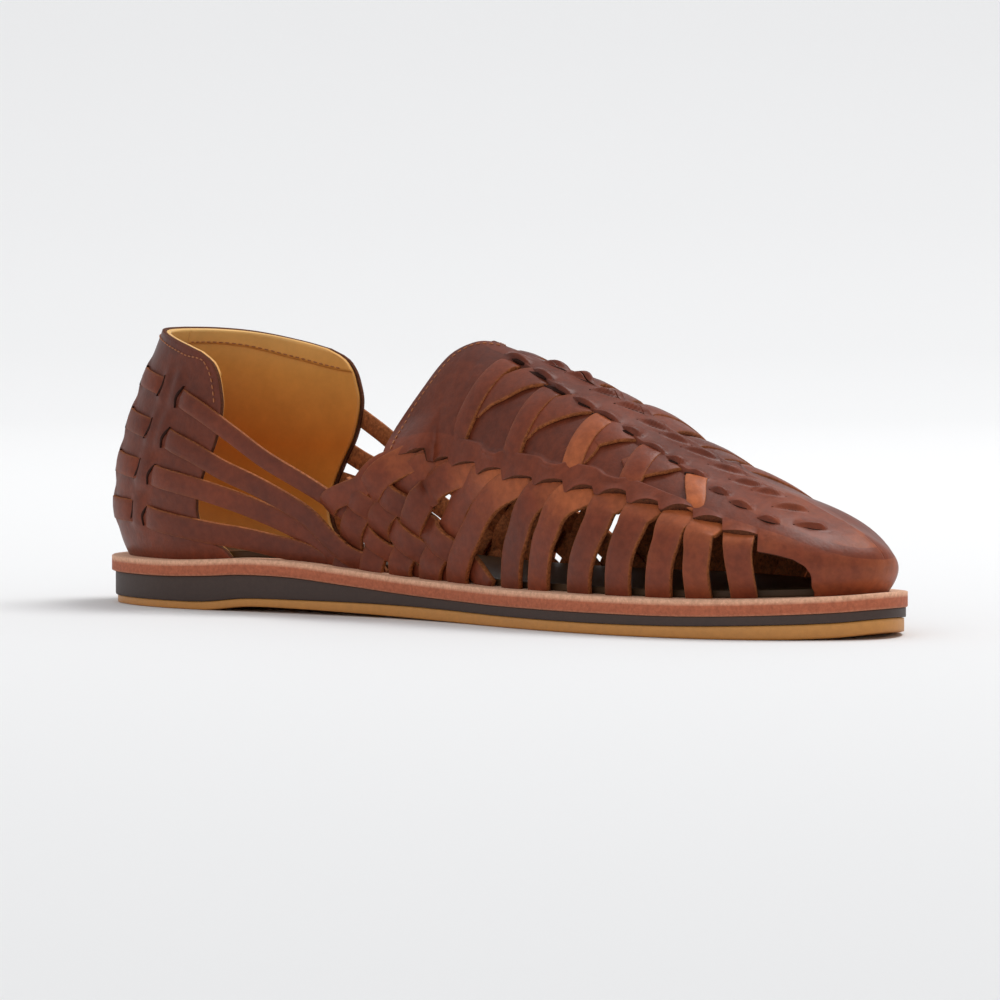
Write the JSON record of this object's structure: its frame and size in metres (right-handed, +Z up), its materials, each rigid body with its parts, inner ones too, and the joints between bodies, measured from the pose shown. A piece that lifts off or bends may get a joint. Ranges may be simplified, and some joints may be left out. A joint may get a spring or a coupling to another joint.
{
  "type": "huarache sandal",
  "caption": "Low slip-on woven leather huarache sandal, left foot: closed toe cap, tongue and heel counter, woven side and heel straps on a stacked welt, wedge and thin rubber outsole.",
  "frame": {"origin": "middle of the shoe's length and width, on the ground", "axes": "+X along the shoe to the toe, +Y to the outer side of the left foot, +Z up"},
  "size_m": [0.298, 0.1018, 0.086],
  "materials": {
    "outsole": "satin ochre gum rubber",
    "midsole_wedge": "matte dark brown",
    "welt": "raw cut leather edge",
    "insole": "smooth semi-gloss",
    "upper": "oiled, semi-gloss"
  },
  "bodies": {
    "root": {"outsole": "outsole", "midsole_wedge": "midsole_wedge", "welt": "welt", "insole": "insole", "upper": "upper"}
  },
  "joints": []
}
